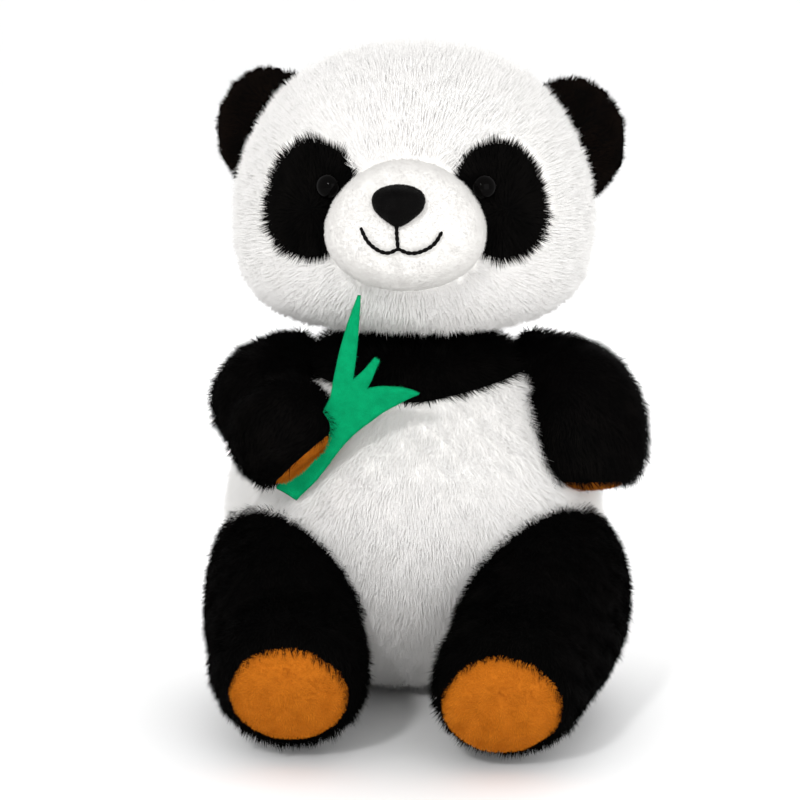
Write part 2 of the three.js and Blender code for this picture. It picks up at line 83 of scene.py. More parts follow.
# Outlines: height, half width, front depth, back depth
TORSO = [
    [0, 44, 6, 48], [2.5, 60, 20, 62], [13, 77, 46, 72], [38, 92, 72, 78], [70, 99, 84, 80],
    [103, 99, 86, 78], [131, 90, 78, 71], [149.5, 78, 68, 62], [163, 69, 60, 54], [174, 59, 52, 41],
    [182.5, 51, 45, 32], [187.5, 39, 37, 26], [191, 22, 22, 20], [193.5, 6, 6, 6],
]
HEAD = [
    [190, 52, 52, 42], [193, 68, 66, 52], [202, 82, 78, 60], [217, 90.5, 86, 67], [237, 93, 89, 72],
    [257, 92.5, 88, 74], [278, 87, 83, 70], [300, 75.5, 70.5, 60.5], [318, 57.5, 53, 46], [329.5, 32, 30, 26],
    [333, 7, 7, 7],
]
# Outlines along a path: x, y, z, half width, half height
MUZZLE = [
    [0, -50, 247.2, 30, 25], [0, -62, 247.2, 38.5, 31.5], [0, -84, 247.2, 39.5, 32], [0, -98, 247.6, 37.5, 30.6],
    [0, -109, 248, 31, 25.2], [0, -115.5, 248.8, 20.8, 16.3], [0, -118, 249.2, 7.5, 6],
]
EAR = [
    [0, 9.4, 0, 9, 10], [0, 8, 0, 22, 24], [0, 4, 0, 31, 34], [0, 0, 0, 33.5, 37],
    [0, -4, 0, 31, 34], [0, -8, 0, 22, 24], [0, -9.4, 0, 9, 10],
]
HOLDING_UPPER_ARM = [
    [-46, 6, 166, 23, 24], [-60, -1, 161.5, 28, 28.5], [-71, -14, 156, 31, 30], [-75, -31, 153, 31, 30],
    [-76, -46, 150, 27, 26], [-76, -55, 148.5, 19, 18], [-76, -60, 148, 8, 8],
]
HANGING_ARM = [
    [46, 6, 166, 23, 24], [62, 1, 161.5, 28, 28.5], [77, -9, 155, 33, 32.5], [83.5, -21, 147, 35.5, 34],
    [85, -31, 136, 36, 34], [85.5, -35.5, 123.5, 34.5, 32.5], [85.5, -37.2, 112.5, 28.5, 28],
    [85.5, -38, 107, 19, 19], [85.5, -38.3, 105, 5, 5],
]
RIGHT_LEG = [
    [-56, 8, 54, 28, 35], [-61.5, -5, 56, 39.5, 50], [-64.5, -22, 57.5, 42, 55], [-64.5, -52, 55.5, 41.5, 54],
    [-63.5, -82, 49, 40, 47], [-61, -106, 42.5, 39.5, 40.5], [-58.5, -127, 41, 40.5, 40],
    [-58, -143, 37.5, 37, 37], [-58.5, -151, 34, 30.5, 31], [-58.5, -154, 32.4, 20, 20],
    [-58.5, -155, 31.8, 6, 6],
]
LEFT_LEG = [
    [56, 8, 54, 28, 35], [63, -5, 56, 40, 49], [67, -22, 56.5, 43.5, 54], [65.5, -54, 55.5, 43.5, 54],
    [58, -86, 49, 42, 47.5], [50, -114, 41.5, 39, 40], [43, -138, 39, 39, 38.5], [40, -154, 34.5, 36, 34.5],
    [39.5, -162, 30.5, 29, 29], [39.5, -165, 28.8, 19, 19], [39.5, -166, 28.3, 6, 6],
]
TAIL = [
    [0, 60, 39, 12, 10], [0, 68, 40, 14, 12], [0, 77, 40, 20, 17], [0, 86, 41, 19, 16.5],
    [0, 93, 42, 12, 11], [0, 95.5, 42.5, 4.5, 4.5],
]
PAW_CENTRE = np.array([-63.0, -72.0, 145.5])
PAW_FACING = np.array([0.66, -0.18, -0.73]) / np.linalg.norm([0.66, -0.18, -0.73])
PAW_PROFILE = [[-30, 8], [-26, 19], [-17, 27.5], [-4, 31.5], [8, 31.5], [17, 28], [22.5, 21.5], [24.5, 10]]
HOLDING_PAW = [[*(PAW_CENTRE + PAW_FACING * along), r, r] for along, r in PAW_PROFILE]


# ---------- surfaces ----------

def read_rows(rows, levels):
    """Rows of a smooth curve through the given rows, evenly spaced by row number."""
    rows = np.asarray(rows, float)
    place = np.linspace(0, len(rows) - 1, levels + 1)
    first = np.minimum(np.floor(place).astype(int), len(rows) - 2)
    t = (place - first)[:, None]
    a, b, c, d = (rows[np.clip(first + k, 0, len(rows) - 1)] for k in (-1, 0, 1, 2))
    return b + 0.5 * t * (c - a + t * (2 * a - 5 * b + 4 * c - d + t * (3 * (b - c) + d - a)))


def close_rings(rings):
    """Vertices and faces of a closed surface through rings of points."""
    levels, sides = rings.shape[:2]
    verts = np.concatenate([rings.reshape(-1, 3), rings[:1].mean(1), rings[-1:].mean(1)])
    start, end = levels * sides, levels * sides + 1
    faces = []
    for k in range(sides):
        n = (k + 1) % sides
        faces.append((start, n, k))
        faces.append((end, (levels - 1) * sides + k, (levels - 1) * sides + n))
        for i in range(levels - 1):
            low, high = i * sides, (i + 1) * sides
            faces.append((low + k, low + n, high + n, high + k))
    return verts, faces


def standing(rows, squareness, sides=64, levels=48):
    angle = np.linspace(0, 2 * math.pi, sides, endpoint=False)
    power = 2 / squareness
    across = np.sign(np.cos(angle)) * np.abs(np.cos(angle)) ** power
    along = np.sign(np.sin(angle)) * np.abs(np.sin(angle)) ** power
    z, width, front, back = read_rows(rows, levels).T[:, :, None]
    depth = np.where(along < 0, front, back)
    return close_rings(np.stack([width * across, depth * along, z + 0 * across], -1))


def tube(rows, guide, sides=48, levels=40, taper=0.0):
    stations = read_rows(rows, levels)
    centre = stations[:, :3]
    ahead = np.gradient(centre, axis=0)
    ahead /= np.linalg.norm(ahead, axis=1, keepdims=True)
    high = guide - (ahead @ guide)[:, None] * ahead
    high /= np.linalg.norm(high, axis=1, keepdims=True)
    side = np.cross(high, ahead)
    angle = np.linspace(0, 2 * math.pi, sides, endpoint=False)
    reach = np.cos(angle) * (1 + taper * np.sin(angle))
    rings = centre[:, None] + (stations[:, 3, None] * reach)[..., None] * side[:, None]
    return close_rings(rings + (stations[:, 4, None] * np.sin(angle))[..., None] * high[:, None])


def triangles_of(faces):
    found = []
    for f in faces:
        found.extend((f[0], f[k], f[k + 1]) for k in range(1, len(f) - 1))
    return np.array(found)


def normals_of(verts, tris):
    flat = np.cross(verts[tris[:, 1]] - verts[tris[:, 0]], verts[tris[:, 2]] - verts[tris[:, 0]])
    normal = np.zeros_like(verts)
    for k in range(3):
        np.add.at(normal, tris[:, k], flat)
    return normal / np.maximum(np.linalg.norm(normal, axis=1, keepdims=True), 1e-12)


def moved_out(surface, distance):
    verts, faces = surface
    return verts + normals_of(verts, triangles_of(faces)) * distance, faces


def joined(surfaces):
    verts, faces, count = [], [], 0
    for v, f in surfaces:
        verts.append(v)
        faces.extend(tuple(i + count for i in face) for face in f)
        count += len(v)
    return np.concatenate(verts), faces


def to_row(points, on_head=False):
    points = np.asarray(points, float)
    if on_head:
        points = points @ YAW.T
    return (points + SHIFT) * MM


def add_object(name, verts, faces, material=None, on_head=False):
    mesh = bpy.data.meshes.new(name)
    mesh.from_pydata(to_row(verts, on_head).tolist(), [], [tuple(map(int, f)) for f in faces])
    mesh.polygons.foreach_set("use_smooth", [True] * len(mesh.polygons))
    if material:
        mesh.materials.append(material)
    thing = bpy.data.objects.new(name, mesh)
    bpy.context.scene.collection.objects.link(thing)
    return thing


def read_mesh(mesh):
    verts = np.zeros(len(mesh.vertices) * 3, np.float32)
    mesh.vertices.foreach_get("co", verts)
    return verts.reshape(-1, 3).astype(float), [tuple(p.vertices) for p in mesh.polygons]


def evaluated(thing):
    graph = bpy.context.evaluated_depsgraph_get()
    graph.update()
    mesh = bpy.data.meshes.new_from_object(thing.evaluated_get(graph))
    thing.modifiers.clear()
    old, thing.data = thing.data, mesh
    bpy.data.meshes.remove(old)
    return thing


# ---------- stuffing ----------

def evened(values, edges, rounds=5):
    """Values shared out between the points that edges join."""
    count = np.bincount(edges.ravel(), minlength=len(values))
    for _ in range(rounds):
        total = np.zeros(len(values))
        np.add.at(total, edges[:, 0], values[edges[:, 1]])
        np.add.at(total, edges[:, 1], values[edges[:, 0]])
        values = (values + total / count) / 2
    return values


def fill(forms):
    """Fills closed forms by cloth simulation. Each form is name: (surface, field that is near 0 on its seams).
    Gives the filled forms, and the forms that they were before as plain shapes for inside tests."""
    swell = SWELL
    made = {}
    for name, (surface, seam) in forms.items():
        thing = add_object("form_" + name, *moved_out(surface, -SHORT_DEPTH.get(name, PILE_DEPTH) - swell))
        voxel = FINE_VOXEL.get(name, VOXEL)
        remesh = thing.modifiers.new("Remesh", "REMESH")
        remesh.mode = "VOXEL"
        remesh.voxel_size = voxel * MM
        smooth = thing.modifiers.new("Smooth", "SMOOTH")
        smooth.iterations = 4
        evaluated(thing)
        start, faces = read_mesh(thing.data)
        start = start / MM - SHIFT
        made[name] = thing, start, faces
        pinned = np.nonzero(np.abs(seam(start)) < voxel / 2)[0]
        group = thing.vertex_groups.new(name="seams")
        group.add(pinned.tolist(), 1.0, "REPLACE")
        cloth = thing.modifiers.new("Cloth", "CLOTH")
        cloth.settings.use_pressure = True
        cloth.settings.uniform_pressure_force = PRESSURE
        cloth.settings.mass = FABRIC_MASS
        cloth.settings.tension_stiffness = FABRIC_STRETCH
        cloth.settings.compression_stiffness = FABRIC_STRETCH
        cloth.settings.shear_stiffness = FABRIC_STRETCH
        cloth.settings.effector_weights.gravity = 0
        if len(pinned):
            cloth.settings.vertex_group_mass = "seams"
        cloth.point_cache.frame_end = FILL_FRAMES
    for number in range(1, FILL_FRAMES + 1):
        bpy.context.scene.frame_set(number)
    filled, plain = {}, {}
    for name, (thing, start, faces) in made.items():
        plain[name] = moved_out((start, faces), swell)
        evaluated(thing)
        now, _ = read_mesh(thing.data)
        normal = normals_of(start, triangles_of(faces))
        rise = np.sum((now / MM - SHIFT - start) * normal, axis=1)
        edges = np.array([e.vertices for e in thing.data.edges])
        rise = evened(np.clip(rise, *RISE), edges)
        thing.data.vertices.foreach_set("co", to_row(start + normal * rise[:, None]).astype(np.float32).ravel())
        thing.data.update()
        smooth = thing.modifiers.new("Smooth", "SMOOTH")
        smooth.iterations = 2
        finer = thing.modifiers.new("Subdivision", "SUBSURF")
        finer.levels = 1
        evaluated(thing)
        verts, faces = read_mesh(thing.data)
        filled[name] = verts / MM - SHIFT, faces
        bpy.data.objects.remove(thing)
    bpy.context.scene.frame_set(1)
    return filled, plain


# ---------- sewn panels ----------

def cut_along(bm, field):
    """Splits the faces that the field's zero line crosses, so that the line runs along edges."""
    values = dict(zip(bm.verts, field(np.array([v.co for v in bm.verts])), strict=True))
    near = 0.1
    for edge in bm.edges:
        a, b = edge.verts
        if values[a] * values[b] < 0:
            share = values[a] / (values[a] - values[b])
            if share < near:
                a.co, values[a] = a.co.lerp(b.co, share), 0.0
            elif share > 1 - near:
                b.co, values[b] = a.co.lerp(b.co, share), 0.0
    for edge in [e for e in bm.edges if values[e.verts[0]] * values[e.verts[1]] < 0]:
        a, b = edge.verts
        _, new = bmesh.utils.edge_split(edge, a, values[a] / (values[a] - values[b]))
        values[new] = 0.0
    for face in list(bm.faces):
        on_line = [v for v in face.verts if values[v] == 0.0]
        if len(on_line) == 2 and not bm.edges.get(on_line):
            bmesh.utils.face_split(face, *on_line)


def panels(surface, fields, label, depth=1.2, width=3.5, bulge=0.0):
    """Cuts a form along the fields' zero lines and returns name: (verts, faces, normals) of each sewn panel.
    label names the panel of each point. The fabric dips at a seam, depth deep and width wide, and
    rises by bulge where the first field is above 0, which brings short pile level with long pile."""
    bm = bmesh.new()
    verts = [bm.verts.new(v) for v in surface[0]]
    for face in surface[1]:
        bm.faces.new([verts[i] for i in face])
    for field in fields:
        cut_along(bm, field)
    bm.verts.index_update()
    points = np.array([v.co for v in bm.verts])
    faces = [tuple(v.index for v in f.verts) for f in bm.faces]
    middles = np.array([f.calc_center_median() for f in bm.faces])
    bm.free()
    normals = normals_of(points, triangles_of(faces))
    if fields:
        away = np.min([np.abs(field(points)) for field in fields], axis=0)
        raised = bulge * np.clip(fields[0](points) / 5, 0, 1) ** 0.5 - depth * np.exp(-((away / width) ** 2))
        points = points + normals * raised[:, None]
    names = label(middles)
    found = {}
    for name in sorted(set(names)):
        chosen = [f for f, n in zip(faces, names, strict=True) if n == name]
        used = np.unique(np.concatenate([np.array(f) for f in chosen]))
        renumber = {int(old): new for new, old in enumerate(used)}
        found[name] = points[used], [tuple(renumber[i] for i in f) for f in chosen], normals[used]
    return found


def whole(surface, name):
    """The one panel of a form that has no seams."""
    return panels(surface, [], lambda points: np.full(len(points), name))[name]


def waves(points, size, seed, count=7):
    """Smooth noise of about unit spread, from a sum of sine waves about size mm long."""
    rng = np.random.default_rng(seed)
    total = np.zeros(len(points))
    for _ in range(count):
        aim = rng.normal(size=3)
        aim *= 2 * math.pi * rng.uniform(0.7, 1.5) / (size * np.linalg.norm(aim))
        total += np.sin(points @ aim + rng.uniform(0, 2 * math.pi))
    return total / math.sqrt(count / 2)


def unit(vectors):
    return vectors / np.maximum(np.linalg.norm(vectors, axis=-1, keepdims=True), 1e-9)


TUFT = 9  # spikes that lean to one tip
ROOT_DEPTH = 0.4  # how far a spike starts under the fabric
LOWEST = 0.3  # nothing of a spike's base goes under this height
SHADE_SPREAD = 0.1  # how much a spike's own sides show in its shading


def pile(name, panel, material, comb, seed, density=55, length=8.0, width=0.7, lift=38.0,
         tangle=0.35, clump=0.35, keep=None, on_head=False, tone_size=16.0):
    """The pile of one panel: tapered closed spikes, density per square cm, length and width in mm.
    lift is their angle above the fabric in degrees, and comb gives the way they lie. tangle and
    clump are how much they stray and how much they gather. keep tests where they may start."""
    verts, faces, normals = panel
    tris = triangles_of(faces)
    rng = np.random.default_rng(seed)
    corner = [verts[tris[:, k]] for k in range(3)]
    area = np.linalg.norm(np.cross(corner[1] - corner[0], corner[2] - corner[0]), axis=1) / 2
    count = int(area.sum() / 100 * density)
    place = (np.arange(count) + rng.random(count)) / count * area.sum()
    which = np.searchsorted(np.cumsum(area), place).clip(max=len(area) - 1)
    share = rng.dirichlet((1, 1, 1), count)
    root = sum(share[:, k, None] * verts[tris[which, k]] for k in range(3))
    normal = unit(sum(share[:, k, None] * normals[tris[which, k]] for k in range(3)))
    if keep is not None:
        kept = keep(root)
        root, normal = root[kept], normal[kept]
    count = len(root)
    drift = np.stack([waves(root, 14, seed + k) for k in (1, 2, 3)], -1)
    flow = unit(comb(root)) + tangle * (0.6 * drift + 0.6 * rng.normal(size=(count, 3)))
    flow = unit(flow - normal * np.sum(flow * normal, 1, keepdims=True))
    raised = np.radians(lift(root) if callable(lift) else lift)
    lean = (raised * (1 + 0.12 * waves(root, 9, seed + 4) + 0.18 * rng.normal(size=count)))[:, None]
    aim = flow * np.cos(lean) + normal * np.sin(lean)
    reach = length * np.clip(1 + 0.12 * waves(root, 11, seed + 5) + 0.15 * rng.normal(size=count), 0.45, 1.5)
    tip = root + aim * reach[:, None]
    heads = rng.choice(count, max(1, count // TUFT), replace=False)
    tree = KDTree(len(heads))
    for i, head in enumerate(heads):
        tree.insert(root[head], i)
    tree.balance()
    nearest = heads[[tree.find(p)[1] for p in root]]
    pull = (clump * rng.uniform(0.3, 1.0, count))[:, None]
    tip += (tip[nearest] - tip) * pull
    aim = unit(tip - root)
    side = unit(np.cross(aim, normal))
    ridge = np.cross(side, aim)
    base = root - normal * ROOT_DEPTH
    half = width / 2 * rng.uniform(0.75, 1.25, count)[:, None]
    points = np.stack([base + side * half, base - side * half, base + ridge * half * 0.8, tip], 1)
    points[..., 2] = np.maximum(points[..., 2], LOWEST)
    shade = unit(normal[:, None] * 0.9 + SHADE_SPREAD * np.stack([side, -side, ridge, aim * 0.5], 1))
    if on_head:
        shade = shade @ YAW.T
    sides = np.array([[2, 0, 3], [1, 2, 3], [0, 1, 3], [0, 2, 1]])
    triangles = (np.arange(count)[:, None, None] * 4 + sides).reshape(-1)
    mesh = bpy.data.meshes.new(name)
    mesh.vertices.add(count * 4)
    mesh.vertices.foreach_set("co", to_row(points.reshape(-1, 3), on_head).astype(np.float32).ravel())
    mesh.loops.add(len(triangles))
    mesh.loops.foreach_set("vertex_index", triangles.astype(np.int32))
    mesh.polygons.add(count * 4)
    mesh.polygons.foreach_set("loop_start", np.arange(0, len(triangles), 3, dtype=np.int32))
    mesh.polygons.foreach_set("use_smooth", np.ones(count * 4, bool))
    tone = 0.5 + 0.16 * waves(root, tone_size, seed + 6) + 0.12 * rng.normal(size=count)
    tone = np.clip(tone, 0.04, 0.96)[:, None] + np.array([0.01, -0.01, 0, 0])
    # V goes from 0.02 at a spike's base to 0.98 at its tip; the material darkens the base end as painted shade.
    along = np.broadcast_to(np.array([0.02, 0.02, 0.02, 0.98]), tone.shape)
    uv = np.stack([tone, along], -1).reshape(-1, 2)[triangles]
    mesh.uv_layers.new(name="OFBake").data.foreach_set("uv", uv.astype(np.float32).ravel())
    mesh.update()
    mesh.validate()
    mesh.normals_split_custom_set_from_vertices(shade.reshape(-1, 3).tolist())
    mesh.materials.append(material)
    thing = bpy.data.objects.new(name, mesh)
    bpy.context.scene.collection.objects.link(thing)
    return thing


# ---------- materials ----------

def new_material(name, roughness=0.9, **sockets):
    """A material and its shader; sockets are the shader's own plain values."""
    material = bpy.data.materials.new(name)
    material.use_nodes = True
    shader = material.node_tree.nodes["Principled BSDF"]
    shader.inputs["Roughness"].default_value = roughness
    for key, value in sockets.items():
        shader.inputs[key.replace("_", " ")].default_value = value
    return material, shader


def mixed_colour(tree, factor, low, high):
    mix = tree.nodes.new("ShaderNodeMix")
    mix.data_type = "RGBA"
    tree.links.new(factor, mix.inputs["Factor"])
    for socket, value in ((mix.inputs["A"], low), (mix.inputs["B"], high)):
        if isinstance(value, tuple):
            socket.default_value = (*value, 1)
        else:
            tree.links.new(value, socket)
    return mix.outputs["Result"]


def pile_material(name, shaded_roots, tips, **sockets):
    """Pile whose colour goes from root to tip along V, between a dark and a light tuft along U. The roots are darker
    than the tips as painted shade at the foot of the pile.
    """
    material, shader = new_material(name, **sockets)
    tree = material.node_tree
    uv = tree.nodes.new("ShaderNodeUVMap")
    uv.uv_map = "OFBake"
    parts = tree.nodes.new("ShaderNodeSeparateXYZ")
    tree.links.new(uv.outputs["UV"], parts.inputs["Vector"])
    root = mixed_colour(tree, parts.outputs["X"], *shaded_roots)
    tip = mixed_colour(tree, parts.outputs["X"], *tips)
    tree.links.new(mixed_colour(tree, parts.outputs["Y"], root, tip), shader.inputs["Base Color"])
    return material


BLOTCH_SHARE, NAP_SHARE = 0.6, 0.45
NAP_HEIGHT = 0.0006


def cloth_material(name, low, high, size, bump=0.3, detail=4.0, **sockets):
    """Fabric with blotches of two tones and a fine nap, size in mm."""
    material, shader = new_material(name, **sockets)
    tree = material.node_tree
    where = tree.nodes.new("ShaderNodeTexCoord").outputs["Object"]
    blotch = tree.nodes.new("ShaderNodeTexNoise")
    blotch.inputs["Scale"].default_value = 1000 / (size * 8)
    blotch.inputs["Detail"].default_value = detail
    nap = tree.nodes.new("ShaderNodeTexNoise")
    nap.inputs["Scale"].default_value = 1000 / size
    nap.inputs["Detail"].default_value = 3
    for noise in (blotch, nap):
        tree.links.new(where, noise.inputs["Vector"])
    both = tree.nodes.new("ShaderNodeMath")
    both.operation = "MULTIPLY_ADD"
    both.inputs[1].default_value = NAP_SHARE
    tree.links.new(nap.outputs["Fac"], both.inputs[0])
    half = tree.nodes.new("ShaderNodeMath")
    half.operation = "MULTIPLY"
    half.inputs[1].default_value = BLOTCH_SHARE
    tree.links.new(blotch.outputs["Fac"], half.inputs[0])
    tree.links.new(half.outputs[0], both.inputs[2])
    tree.links.new(mixed_colour(tree, both.outputs[0], low, high), shader.inputs["Base Color"])
    raised = tree.nodes.new("ShaderNodeBump")
    raised.inputs["Strength"].default_value = bump
    raised.inputs["Distance"].default_value = NAP_HEIGHT
    tree.links.new(nap.outputs["Fac"], raised.inputs["Height"])
    tree.links.new(raised.outputs["Normal"], shader.inputs["Normal"])
    return material


PLAIN = {"Specular_IOR_Level": 0.12}
DULL = {"Specular_IOR_Level": 0.03}  # black and saturated fibre, which would look grey with more
# Each pile's root colours are darker than its tip colours: painted shade at the foot of the pile.
WHITE_PILE = pile_material("white_pile", ((0.90, 0.885, 0.86), (0.93, 0.915, 0.895)),
                           ((0.93, 0.915, 0.895), (0.955, 0.945, 0.93)), roughness=1.0, **PLAIN)
WHITE_CLOTH = cloth_material("white_backing", (0.86, 0.84, 0.81), (0.93, 0.915, 0.89), 1.2, roughness=1.0, **PLAIN)
MUZZLE_PILE = pile_material("muzzle_pile", ((0.73, 0.71, 0.685), (0.76, 0.74, 0.715)),
                            ((0.75, 0.735, 0.71), (0.79, 0.775, 0.75)), roughness=1.0, **PLAIN)
MUZZLE_CLOTH = cloth_material("muzzle_velboa", (0.745, 0.73, 0.705), (0.78, 0.765, 0.74), 0.7, roughness=1.0, **PLAIN)
# The black pile's lighter, warmer tips are painted sheen.
BLACK_PILE = pile_material("black_pile", ((0.0006, 0.0006, 0.0006), (0.0010, 0.0009, 0.0009)),
                           ((0.0014, 0.0013, 0.0012), (0.0060, 0.0052, 0.0046)), roughness=0.75, **DULL)
BLACK_CLOTH = cloth_material("black_backing", (0.0005, 0.0005, 0.0005), (0.0014, 0.0012, 0.0012), 1.2,
                             roughness=0.95, **DULL)
EAR_PILE = pile_material("ear_pile", ((0.0008, 0.0006, 0.0005), (0.0014, 0.001, 0.0009)),
                         ((0.0016, 0.0013, 0.0011), (0.010, 0.0055, 0.0034)), roughness=0.8, **DULL)
TAN_PILE = pile_material("tan_pile", ((0.30, 0.076, 0.004), (0.40, 0.110, 0.006)),
                         ((0.52, 0.138, 0.007), (0.76, 0.235, 0.018)), roughness=0.9, **DULL)
TAN_CLOTH = cloth_material("tan_velboa", (0.30, 0.078, 0.005), (0.52, 0.155, 0.012), 0.9, roughness=0.9, **DULL)
# The nose pile's lighter tips are a painted velvet highlight.
VELVET_PILE = pile_material("nose_pile", ((0.0006, 0.0005, 0.0005), (0.001, 0.0009, 0.0009)),
                            ((0.0018, 0.0016, 0.0016), (0.016, 0.015, 0.014)), roughness=0.6, **DULL)
VELVET = cloth_material("nose_velvet", (0.0006, 0.0005, 0.0005), (0.003, 0.0027, 0.0027), 0.6, roughness=0.6, **DULL)


# ---------- forms ----------

def axis_end(rows):
    """The point and direction in which a limb ends."""
    last, before = np.array(rows[-1][:3]), np.array(rows[-3][:3])
    return last, unit(last - before)


PAD_WRAP = 18  # how far back from the end of a limb its pad may reach


def pad_field(rows, radius):
    """Above 0 on the pad that closes a limb, in mm from the pad's seam."""
    end, way = axis_end(rows)

    def field(points):
        out = np.asarray(points) - end
        along = out @ way
        from_axis = np.linalg.norm(out - along[:, None] * way, axis=1)
        return np.minimum(radius - from_axis, along + PAD_WRAP)

    return field


YOKE_EDGE, YOKE_SLOPE, YOKE_ROUND = 158, 0.2, 6


def yoke_field(points):
    """Above 0 on the black band, whose lower edge rises in a rounded V from the middle."""
    points = np.asarray(points)
    return points[:, 2] - (YOKE_EDGE + YOKE_SLOPE * (np.hypot(points[:, 0], YOKE_ROUND) - YOKE_ROUND))


def crown_field(points):
    """Above 0 on the front of the head."""
    return -np.asarray(points)[:, 1]


PATCH_LEAN = math.radians(14)
PATCH_ACROSS, PATCH_SHIFT, PATCH_HEIGHT = 45.8, -0.7, 257.6
PATCH_HALF_WIDTH = {-1: 20.7, 1: 19.7}
PATCH_HALF_HEIGHT = 27.2
PATCH_SQUARENESS = 2.3
PATCH_FRONT = -5  # the patches are on the face only


def patch_field(side):
    """Above 0 on the eye patch of one side, a leaning oval."""

    def field(points):
        points = np.asarray(points)
        lean = PATCH_LEAN * side
        across, up = points[:, 0] - (PATCH_ACROSS * side + PATCH_SHIFT), points[:, 2] - PATCH_HEIGHT
        u = np.abs((across * math.cos(lean) + up * math.sin(lean)) / PATCH_HALF_WIDTH[side])
        v = np.abs((up * math.cos(lean) - across * math.sin(lean)) / PATCH_HALF_HEIGHT)
        size = (u ** PATCH_SQUARENESS + v ** PATCH_SQUARENESS) ** (1 / PATCH_SQUARENESS)
        return np.where(points[:, 1] < PATCH_FRONT, 25 * (1 - size), -20.0)

    return field


EAR_PLACE = {-1: np.array([-73.0, 6.0, 285.0]), 1: np.array([77.5, 6.0, 280.5])}
TO_EAR_SEAM = np.array([0, -2.0, 2.5])
EAR_TURN = math.radians(14)
EAR_OUTWARD = np.array([0.91, 0, 0.416])


def ear_field(side):
    """Above 0 on the front of an ear."""
    turn = EAR_TURN * side

    def field(points):
        points = np.asarray(points) - EAR_PLACE[side]
        return points[:, 0] * math.sin(turn) - points[:, 1] * math.cos(turn)

    return field


def ear_form(side):
    verts, faces = tube(EAR, UP)
    turn = EAR_TURN * side
    spin = np.array([[math.cos(turn), -math.sin(turn), 0], [math.sin(turn), math.cos(turn), 0], [0, 0, 1]])
    return verts @ spin.T + EAR_PLACE[side], faces


def no_seam(points):
    return np.full(len(points), 99.0)


SOLE_RADIUS, PALM_RADIUS = 27.3, 19
SOLE_BULGE = 2.4
LIMBS = {
    "right_arm": ([HOLDING_UPPER_ARM, HOLDING_PAW], FORWARD, PALM_RADIUS, "right_palm"),
    "left_arm": ([HANGING_ARM], FORWARD, PALM_RADIUS, "left_palm"),
    "right_leg": ([RIGHT_LEG], UP, SOLE_RADIUS, "right_sole"),
    "left_leg": ([LEFT_LEG], UP, SOLE_RADIUS, "left_sole"),
}
HEAD_FIELDS = [crown_field, patch_field(1), patch_field(-1)]


def head_seams(points):
    return np.min(np.abs([field(points) for field in HEAD_FIELDS]), 0)


forms = {
    "torso": (standing(TORSO, 2.15), yoke_field),
    "tail": (tube(TAIL, UP), no_seam),
    "head": (standing(HEAD, 2.25), head_seams),
    "muzzle": (tube(MUZZLE, UP, taper=-0.12), no_seam),
    "right_ear": (ear_form(-1), no_seam),
    "left_ear": (ear_form(1), no_seam),
}
for limb, (tubes, guide, radius, _) in LIMBS.items():
    forms[limb] = joined([tube(rows, guide) for rows in tubes]), pad_field(tubes[-1], radius)
forms, plain_forms = fill(forms)
solids = {name: BVHTree.FromPolygons(form[0].tolist(), form[1]) for name, form in plain_forms.items()}


def outside(name, depth=0.0):
    """A test of points: True where they aren't more than depth mm inside a form."""
    tree = solids[name]

    def test(points):
        found = []
        for p in points.tolist():
            near, normal, _, _ = tree.find_nearest(p)
            found.append(sum((a - b) * n for a, b, n in zip(p, near, normal, strict=True)) > -depth)
        return np.array(found, bool)

    return test


def all_of(*tests):
    def test(points):
        good = np.ones(len(points), bool)
        for one in tests:
            good[good] = one(points[good])
        return good

    return test


# ---------- pieces ----------

def sew(name, panel, material, body, nodes, slot, on_head=False, across=None):
    """A panel of backing fabric: a closed shell that stands for CAD nodes.
    across is (other body, start, end) for a panel between two bodies; such a panel is left unattached to any body, with
    its transform applied."""
    thing = add_object(name, panel[0], panel[1], material, on_head)
    shell = thing.modifiers.new("Backing", "SOLIDIFY")
    shell.thickness = BACKING * MM
    shell.offset = -1
    evaluated(thing)
    place(thing, body, slot, across)
    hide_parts(*nodes)
    return thing


def place(thing, body, slot, across=None):
    if across:
        other, start, end = across
        tuple(start)
        tuple(end)
        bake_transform(thing)
    else:
        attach(thing, body)
    return thing


def away_from(*centre):
    return lambda points: points - np.array(centre, float)


def along(*way):
    return lambda points: np.tile(np.array(way, float), (len(points), 1))


def split_torso(points):
    return np.where(yoke_field(points) > 0, "shoulder_yoke", "belly")


torso = panels(forms["torso"], [yoke_field], split_torso)
sew("belly_plush", torso["belly"], WHITE_CLOTH, "torso", ["belly_skin", "body_filling"], "white_plush")
sew("shoulder_yoke_plush", torso["shoulder_yoke"], BLACK_CLOTH, "torso", ["shoulder_yoke"], "black_plush")
off_limbs = [outside(limb, 9) for limb in LIMBS]


def belly_flow(points):
    front = np.where(points[:, 1] < 0, 1.0, -0.4)[:, None]
    return np.array([0, 0, -1.0]) + 0.006 * points * np.array([1, 0, 0]) * front


BELLY_SPLIT = 12  # the pile in front of this depth and the pile behind it are two pieces
HALVES = {
    "belly_front_pile": (11, lambda p: p[:, 1] < BELLY_SPLIT),
    "belly_back_pile": (14, lambda p: p[:, 1] >= BELLY_SPLIT),
}
for name, (seed, half) in HALVES.items():
    fur = pile(name, torso["belly"], WHITE_PILE, belly_flow, seed, density=114, length=6.8, width=0.44, lift=34,
               tangle=0.26, clump=0.06, keep=all_of(half, *off_limbs, lambda p: p[:, 2] > OVER_FLOOR))
    place(fur, "torso", "white_plush")


NECK_RADIUS = 16


def yoke_lift(points):
    """The pile stands up round the neck, where the head presses on it."""
    return 36 + 34 * np.clip((points[:, 2] - 168) / 14, 0, 1)


yoke_pile = pile("shoulder_yoke_pile", torso["shoulder_yoke"], BLACK_PILE, away_from(0, 0, 202), 12, density=90,
                 length=7.2, width=0.62, lift=yoke_lift, tangle=0.26, clump=0.2,
                 keep=all_of(*off_limbs, lambda p: np.hypot(p[:, 0], p[:, 1]) > NECK_RADIUS))
place(yoke_pile, "torso", "black_plush")

